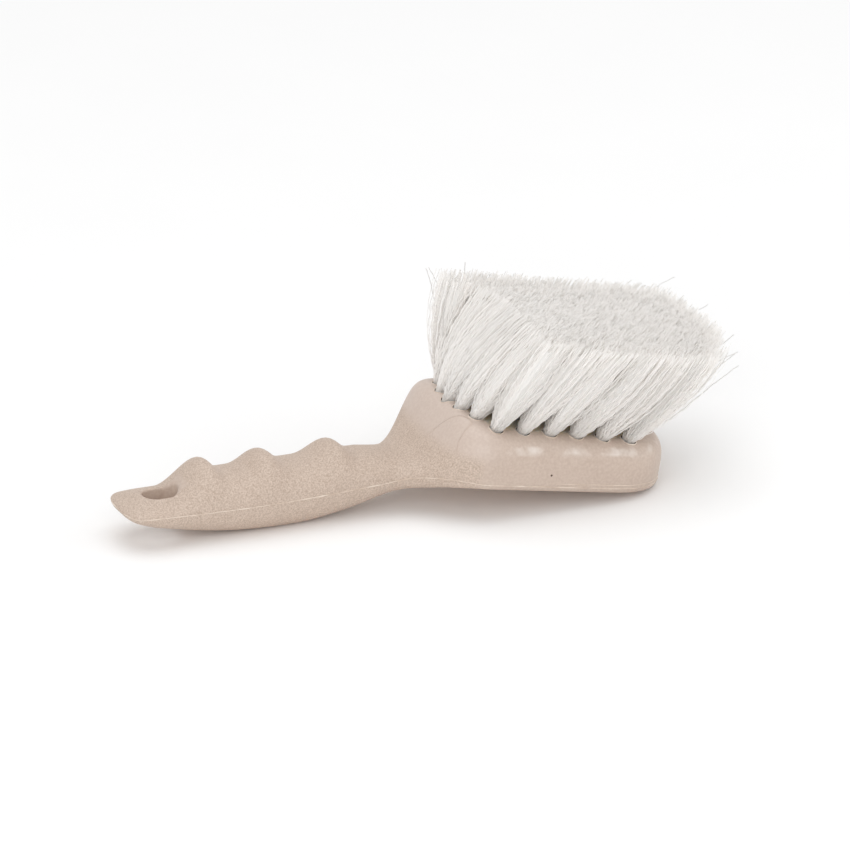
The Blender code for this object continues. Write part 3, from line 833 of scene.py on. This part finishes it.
slope = add_node(
    tree, "ShaderNodeVectorMath", {0: flat_tip, 1: (-TRIM_SLOPE, TRIM_CROSS_SLOPE, 0.0)},
    operation="DOT_PRODUCT",
)["Value"]
proud = number_node(tree, "POWER", chances[3], PROUD_RARITY)
proud = number_node(tree, "MULTIPLY_ADD", proud, PROUD_REACH, chances[4])
trim = number_node(tree, "ADD", slope, TRIM_HEIGHT)
trim = number_node(tree, "MULTIPLY_ADD", proud, given["Tip Unevenness"], trim)
trim = add_node(tree, "ShaderNodeCombineXYZ", {2: trim})[0]
end = vector_node(tree, "ADD", flat_tip, trim)
reach = add_node(tree, "ShaderNodeVectorMath", {0: end, 1: root}, operation="DISTANCE")["Value"]
elbows = []
for (least, most), spread in ((ELBOW_AT, given["Root Spread"]), (BEND_AT, given["Early Spread"])):
    elbow = add_node(
        tree, "ShaderNodeMapRange", {"Value": chances[5], "To Min": least, "To Max": most},
    )["Result"]
    elbow = number_node(tree, "MULTIPLY", reach, elbow)
    elbow = vector_node(tree, "SCALE", tuft_facts["axis"], elbow)
    elbow = vector_node(tree, "ADD", root, elbow)
    aside = vector_node(tree, "SCALE", cell, spread)
    elbow = vector_node(tree, "ADD", elbow, aside)
    elbows.append(elbow)
phase = number_node(tree, "MULTIPLY", chances[6], FULL_TURN)
stored = {
    "root": root, "elbow": elbows[0], "bend": elbows[1], "end": end, "swing": swing,
    "span": reach, "phase": phase, "shade": chances[7],
}
kinds = {name: "FLOAT" if name in ("span", "phase", "shade") else "FLOAT_VECTOR" for name in stored}
points = copies["Geometry"]
for name, value in stored.items():
    points = add_node(
        tree, "GeometryNodeStoreNamedAttribute", {"Geometry": points, "Name": name, "Value": value},
        data_type=kinds[name], domain="POINT",
    )["Geometry"]

straight = add_node(tree, "GeometryNodeCurvePrimitiveLine", {"End": (0.0, 0.0, 0.01)})["Curve"]
straight = add_node(
    tree, "GeometryNodeResampleCurve", {"Curve": straight, "Count": given["Points per Filament"]},
)["Curve"]
planted = add_node(
    tree, "GeometryNodeInstanceOnPoints", {"Points": points, "Instance": straight},
)["Instances"]
planted = add_node(tree, "GeometryNodeRealizeInstances", {0: planted})[0]
del stored["shade"]  # the shader reads this one
facts = {}
for name in stored:
    facts[name] = add_node(
        tree, "GeometryNodeInputNamedAttribute", {"Name": name}, data_type=kinds[name],
    )["Attribute"]
way = add_node(tree, "GeometryNodeSplineParameter")["Factor"]
legs = [facts["root"], facts["elbow"], facts["bend"], facts["end"]]
while len(legs) > 1:
    legs = [
        add_node(tree, "ShaderNodeMix", {0: way, 4: start, 5: stop}, data_type="VECTOR")[1]
        for start, stop in zip(legs, legs[1:])
    ]
per_crimp = number_node(tree, "DIVIDE", FULL_TURN, given["Crimp Length"])
waves = number_node(tree, "MULTIPLY", facts["span"], per_crimp)
wave = number_node(tree, "MULTIPLY_ADD", waves, way, facts["phase"])
wave = number_node(tree, "SINE", wave)
free = add_node(
    tree, "ShaderNodeMapRange",
    {"Value": way, "From Max": CRIMPED_FROM, "To Max": given["Crimp Height"]},
)["Result"]
wave = number_node(tree, "MULTIPLY", wave, free)
crimp = vector_node(tree, "SCALE", facts["swing"], wave)
path = vector_node(tree, "ADD", legs[0], crimp)
bent = add_node(tree, "GeometryNodeSetPosition", {"Geometry": planted, "Position": path})["Geometry"]
bent = add_node(
    tree, "GeometryNodeStoreNamedAttribute", {"Geometry": bent, "Name": "along", "Value": way},
    data_type="FLOAT", domain="POINT",
)["Geometry"]
for name in (*facts, *tuft_facts):
    bent = add_node(tree, "GeometryNodeRemoveAttribute", {"Geometry": bent, "Name": name})["Geometry"]
radius = number_node(tree, "MULTIPLY", given["Filament Diameter"], 0.5)
triangle = add_node(
    tree, "GeometryNodeCurvePrimitiveCircle", {"Resolution": 3, "Radius": radius},
)["Curve"]
drawn = add_node(
    tree, "GeometryNodeCurveToMesh", {"Curve": bent, "Profile Curve": triangle, "Fill Caps": True},
)["Mesh"]
drawn = add_node(
    tree, "GeometryNodeSetShadeSmooth", {"Geometry": drawn, "Shade Smooth": False}, domain="FACE",
)["Geometry"]
whole = add_node(tree, "GeometryNodeRealizeInstances", {0: drawn})[0]
coated = add_node(
    tree, "GeometryNodeSetMaterial", {"Geometry": whole, "Material": given["Material"]},
)["Geometry"]
add_node(tree, "NodeGroupOutput", {0: coated})

# The trimmed face, read from the photograph: where each row's tips begin and end, from the near
# row to the far one. The near row bows outwards, and the far corner by the grip is splayed. The
# spreads are shares of a tuft's cell of that face: at the root, at the bend and at the tips.
TIP_ENDS = (
    (-0.0155, 0.0535), (-0.0152, 0.0585), (-0.0152, 0.0630), (-0.0155, 0.0662),
    (-0.0160, 0.0658), (-0.0205, 0.0632), (-0.0298, 0.0605),
)
TIP_ROW_NEAR = -0.0308
TIP_ROW_FAR = 0.0292
TIP_ROW_BOW = 0.0035
BUNDLE_RADIUS = 0.0018
ROOT_SPREAD = 0.03
EARLY_SPREAD = 1.28
REAR_SPREAD = 0.92  # the bend's, in the tufts by the grip
TIP_SPREAD = 1.30
STRAIGHTENING = 0.6  # how far a tuft turns from its hole's direction towards its tips
OUTER_POINTS = 38
INNER_POINTS = 14  # only the tips of the inner tufts show
fans = []
for row, tufts in enumerate(tuft_rows):
    first_x, last_x = TIP_ENDS[row]
    width = (last_x - first_x) / len(tufts)
    depth = (TIP_ROW_FAR - TIP_ROW_NEAR) / (ROW_COUNT - 1)
    fanned = []
    for i, (mouth, axis, across, tip, half) in enumerate(tufts):
        along_share = 2 * i / (len(tufts) - 1) - 1
        bow = TIP_ROW_BOW * along_share**2 * max(0, 1 - 2 * row / (ROW_COUNT - 1))
        tip = Vector((first_x + (i + 0.5) * width, TIP_ROW_NEAR + row * depth + bow, 0))
        direct = (on_trim(tip.x, tip.y) - mouth).normalized()
        axis = axis.lerp(direct, STRAIGHTENING).normalized()
        across = Vector((0, 1, 0)).cross(axis).normalized()
        fanned.append((mouth, axis, across, tip, Vector((width / 2, depth / 2, 0))))
    fans += fanned
    last_one = len(tufts) - 1
    if row in (0, ROW_COUNT - 1):
        groups = (("rear", 0, 3), ("front", 3, len(tufts)))
    else:
        groups = (("rear", 0, 1), ("middle", 1, last_one), ("front", last_one, len(tufts)))
    for part_name, first, last in groups:
        starts = bpy.data.meshes.new("tuft_mouths")
        starts.from_pydata([tuft[0] for tuft in fanned[first:last]], [], [])
        for place, name in enumerate(("axis", "across", "tip", "half"), start=1):
            attribute = starts.attributes.new(name, "FLOAT_VECTOR", "POINT")
            for i, tuft in enumerate(fanned[first:last]):
                attribute.data[i].vector = tuft[place]
        mesh = made_by(add_object("tuft_mouths", starts), tufting, tufting_names, {
            "Filaments per Tuft": 260,
            "Filament Diameter": 0.00034,
            "Bundle Radius": BUNDLE_RADIUS,
            "Points per Filament": INNER_POINTS if part_name == "middle" else OUTER_POINTS,
            "Crimp Length": 0.0052,
            "Crimp Height": 0.00026,
            "Tip Unevenness": 0.0004,
            "Tip Scatter": 0.0042,
            "Tip Spread": TIP_SPREAD,
            "Root Spread": ROOT_SPREAD,
            "Early Spread": REAR_SPREAD if part_name == "rear" else EARLY_SPREAD,
            "Seed": 20 * row + first,
            "Material": nylon,
        })
        piece = add_object(f"tuft_row_{row + 1}_{part_name}", mesh)
        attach(piece, "root")
        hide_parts(*[f"tuft_row_{row + 1}_no_{i + 1}" for i in range(first, last)])

# Packed middles of the tufts: nylon too, but so dense that little light passes between its
# filaments. Each is one closed form inside its tuft, streaked lengthwise and short of the tips.
CORE_SHARE = 0.64
CORE_END = 0.95
CORE_RINGS = 14
CORE_SIDES = 20
CORE_LET_THROUGH = 0.08
STREAK_SCALE = (24.0, 24.0, 2.0)
STREAK_SHIFT = 90  # puts each core in its own part of the noise
STREAK_HEIGHT = 0.0003
cores = bmesh.new()
streak = cores.verts.layers.float_vector.new("streak")
for mouth, axis, across, tip, half in fans:
    along = axis.cross(across)
    rings = []
    for step in range(CORE_RINGS):
        way = CORE_END * step / (CORE_RINGS - 1)
        ring = []
        for i in range(CORE_SIDES):
            angle = 2 * math.pi * i / CORE_SIDES
            spoke = CORE_SHARE * Vector((math.cos(angle), math.sin(angle), 0))
            root = mouth - axis * MOUTH_DEPTH + BUNDLE_RADIUS * (spoke.x * across + spoke.y * along)
            square = TIP_SPREAD / max(abs(math.cos(angle)), abs(math.sin(angle)))
            cell = Vector((spoke.x * half.x, spoke.y * half.y, 0)) * square
            end = on_trim(tip.x + cell.x, tip.y + cell.y)
            reach = (end - root).length
            elbow = root + axis * (sum(ELBOW_AT) / 2) * reach + cell * ROOT_SPREAD
            bend = root + axis * (sum(BEND_AT) / 2) * reach + cell * EARLY_SPREAD
            legs = [root, elbow, bend, end]
            while len(legs) > 1:
                legs = [start.lerp(stop, way) for start, stop in zip(legs, legs[1:])]
            ring.append(legs[0])
        rings.append(ring)
    loft(cores, rings)
    cores.verts.ensure_lookup_table()
    for step in range(CORE_RINGS):
        for i in range(CORE_SIDES):
            vertex = cores.verts[len(cores.verts) - CORE_RINGS * CORE_SIDES + step * CORE_SIDES + i]
            angle = 2 * math.pi * i / CORE_SIDES
            x, y = math.cos(angle) + tip.x * STREAK_SHIFT, math.sin(angle) + tip.y * STREAK_SHIFT
            vertex[streak] = (x, y, step / CORE_RINGS)
core_mesh = closed_mesh("tuft_cores", cores)
packed_nylon, tree, shader = new_material("packed_nylon", 0.5, NYLON_IOR)
place = add_node(tree, "ShaderNodeAttribute", attribute_name="streak")["Vector"]
place = add_node(tree, "ShaderNodeMapping", {"Vector": place, "Scale": STREAK_SCALE})["Vector"]
streaks = add_node(tree, "ShaderNodeTexNoise", {"Vector": place, "Scale": 1.0, "Detail": 3.0})["Fac"]
white = blend(tree, streaks, linear("#F0EFED"), linear("#FFFEFD"))
tree.links.new(white, shader.inputs["Base Color"])
bump = add_node(
    tree, "ShaderNodeBump", {"Height": streaks, "Distance": STREAK_HEIGHT, "Strength": 0.6},
)["Normal"]
tree.links.new(bump, shader.inputs["Normal"])
let_through = add_node(tree, "ShaderNodeBsdfTranslucent", {"Color": white})["BSDF"]
both = add_node(
    tree, "ShaderNodeMixShader", {0: CORE_LET_THROUGH, 1: shader.outputs["BSDF"], 2: let_through},
)["Shader"]
tree.links.new(both, tree.nodes["Material Output"].inputs["Surface"])
core_mesh.materials.append(packed_nylon)
core_mesh.transform(REST_PLACE)
core_mesh.shade_smooth()
core_mesh.set_sharp_from_angle(angle=math.radians(50))
tuft_cores = add_object("tuft_cores", core_mesh)
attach(tuft_cores, "root")

# Stray filaments: a few worked loose from the outer tufts in use, and stand off from the rest.
STRAY_ROOT = 0.002
STRAY_STRAIGHT = 0.008
STEPS_PER_KNOT = 8
KNOT_BEND = 0.25
strays = []
for row, i, first_bend, second_bend, end in (
    (0, -1, (0.0395, -0.0270, 0.0340), (0.0520, -0.0250, 0.0465), (0.0640, -0.0262, 0.0545)),
    (0, -1, (0.0420, -0.0250, 0.0268), (0.0550, -0.0245, 0.0388), (0.0662, -0.0245, 0.0488)),
    (1, -1, (0.0420, -0.0170, 0.0330), (0.0570, -0.0200, 0.0440), (0.0655, -0.0215, 0.0520)),
    (2, -1, (0.0450, -0.0060, 0.0330), (0.0600, -0.0080, 0.0450), (0.0705, -0.0080, 0.0545)),
    (4, -1, (0.0440, 0.0100, 0.0370), (0.0590, 0.0130, 0.0500), (0.0705, 0.0160, 0.0570)),
    (6, -1, (0.0400, 0.0290, 0.0370), (0.0530, 0.0340, 0.0520), (0.0660, 0.0370, 0.0590)),
    (6, 0, (-0.0298, 0.0290, 0.0330), (-0.0318, 0.0330, 0.0480), (-0.0372, 0.0350, 0.0606)),
    (6, 0, (-0.0275, 0.0300, 0.0350), (-0.0290, 0.0340, 0.0500), (-0.0345, 0.0380, 0.0600)),
    (6, 1, (-0.0190, 0.0300, 0.0370), (-0.0200, 0.0330, 0.0520), (-0.0205, 0.0370, 0.0625)),
    (5, 0, (-0.0316, 0.0190, 0.0300), (-0.0328, 0.0210, 0.0430), (-0.0338, 0.0230, 0.0560)),
    (0, 1, (-0.0120, -0.0305, 0.0330), (-0.0080, -0.0345, 0.0440), (-0.0040, -0.0374, 0.0545)),
    (0, 3, (0.0170, -0.0310, 0.0310), (0.0230, -0.0345, 0.0440), (0.0300, -0.0372, 0.0540)),
):
    mouth, axis = tuft_rows[row][i][:2]
    knots = [mouth - STRAY_ROOT * axis, mouth + STRAY_STRAIGHT * axis]
    knots += [Vector(first_bend), Vector(second_bend), Vector(end)]
    points = []
    for before, start, stop, after in zip(knots, knots[1:], knots[2:], knots[3:] + knots[-1:]):
        for step in range(STEPS_PER_KNOT):
            t = step / STEPS_PER_KNOT
            bend = (after - stop + before - start) * (t - t * t) * KNOT_BEND
            points.append(start.lerp(stop, t) - bend)
    strays.append(knots[:1] + points + knots[-1:])
mesh = made_by(new_lines("stray_filaments", strays, False), sweep, sweep_names, {
    "Step": 0.0009, "Radius": 0.00017, "Sides": 4, "Waver": 0.0014, "Waver Size": 0.0045,
    "Lumps": 0.0, "Seed": 6.0, "Material": nylon,
})
# Strays stand apart, so they get none of the root's dust and painted shade.
for undarkened in mesh.attributes.new("along", "FLOAT", "POINT").data:
    undarkened.value = 1.0
stray_filaments = add_object("stray_filaments", mesh)
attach(stray_filaments, "root")


# Stage: a white sweep of paper as the floor, a large soft light overhead, one left of the
# camera, a weak one to the right, and an even pale room all round.
paper, tree, shader = new_material("white_paper", 0.9)
place = add_node(tree, "ShaderNodeTexCoord")["Object"]
FIBRE_SIZE = 0.05
fibres = add_node(tree, "ShaderNodeTexNoise", {"Vector": place, "Scale": 1 / FIBRE_SIZE})["Fac"]
fibre_colour = blend(tree, fibres, linear("#FBFBFB"), linear("#FDFDFD"))
tree.links.new(fibre_colour, shader.inputs["Base Color"])
shader.inputs["Specular IOR Level"].default_value = 0.0
floor_mesh = bpy.data.meshes.new("paper_floor")
FLOOR_REACH = 6
corners = [(x * FLOOR_REACH, y * FLOOR_REACH, 0) for x, y in ((-1, -1), (1, -1), (1, 1), (-1, 1))]
floor_mesh.from_pydata(corners, [], [(0, 1, 2, 3)])
floor_mesh.materials.append(paper)
paper_floor = add_object("paper_floor", floor_mesh)

LIT_POINT = Vector((0.02, 0, 0.03))
for name, size, watts, at in (
    ("overhead_softbox", 1.8, 10.0, (-0.10, 0.20, 1.60)),
    ("front_softbox", 0.8, 3.1, (-0.56, -0.78, 0.45)),
    ("side_softbox", 0.7, 1.4, (0.80, -0.30, 0.35)),
):
    lamp = bpy.data.lights.new(name, "AREA")
    lamp.shape = "SQUARE"
    lamp.size = size
    lamp.energy = watts
    light = add_object(name, lamp)
    light.location = at
    light.rotation_mode = "QUATERNION"
    light.rotation_quaternion = (Vector(at) - LIT_POINT).to_track_quat("Z", "Y")

# Camera and glossy rays see the room at full strength. Light that the nylon lets through would
# count as a transmission ray and be lit from within, so it sees the weaker room.
room = bpy.data.worlds.new("pale_room")
room.use_nodes = True
tree = room.node_tree
rays = add_node(tree, "ShaderNodeLightPath")
seen = number_node(tree, "MAXIMUM", rays["Is Camera Ray"], rays["Is Glossy Ray"])
ROOM_LIGHT = 0.65
level = add_node(
    tree, "ShaderNodeMapRange", {"Value": seen, "To Min": ROOM_LIGHT, "To Max": 1.0},
)["Result"]
tree.nodes["Background"].inputs["Color"].default_value = (1, 1, 1, 1)
tree.links.new(level, tree.nodes["Background"].inputs["Strength"])
scene.world = room
scene.view_settings.view_transform = "Standard"

# White nylon takes up so little light that a ray passes many filaments before it leaves.
scene.cycles.max_bounces = 24
scene.cycles.diffuse_bounces = 16
scene.cycles.transmission_bounces = 24

# Camera: a long lens, round to the left by 24 degrees and 24 degrees above the horizon. The
# photographed brush leans a little more than it does at rest, so the camera leans with it.
PHOTO_TILT = math.radians(11.7)
PHOTO_TURN = math.radians(-24)
PHOTO_RISE = math.radians(24)
PIXEL = 0.0003663  # metres that one pixel covers at the brush
IMAGE_PIXELS = 850
BACK_CENTRE_PIXEL = (524.9, 459.7)  # where the middle of the block's back lies in the picture
DISTANCE = 14.0
lean = Matrix.Rotation(REST_TILT - PHOTO_TILT, 3, "Y")
right = lean @ Vector((math.cos(PHOTO_TURN), math.sin(PHOTO_TURN), 0))
back = lean @ Vector((
    math.sin(PHOTO_TURN) * math.cos(PHOTO_RISE),
    -math.cos(PHOTO_TURN) * math.cos(PHOTO_RISE),
    math.sin(PHOTO_RISE),
))
up = back.cross(right)
aim = REST_PLACE.translation - right * (BACK_CENTRE_PIXEL[0] - IMAGE_PIXELS / 2) * PIXEL
aim = aim + up * (BACK_CENTRE_PIXEL[1] - IMAGE_PIXELS / 2) * PIXEL
lens = bpy.data.cameras.new("camera")
lens.lens = lens.sensor_width * DISTANCE / (IMAGE_PIXELS * PIXEL)
lens.clip_end = 50
camera = add_object("camera", lens)
turned = Matrix((right, up, back)).transposed().to_4x4()
camera.matrix_world = Matrix.Translation(aim + back * DISTANCE) @ turned
scene.camera = camera
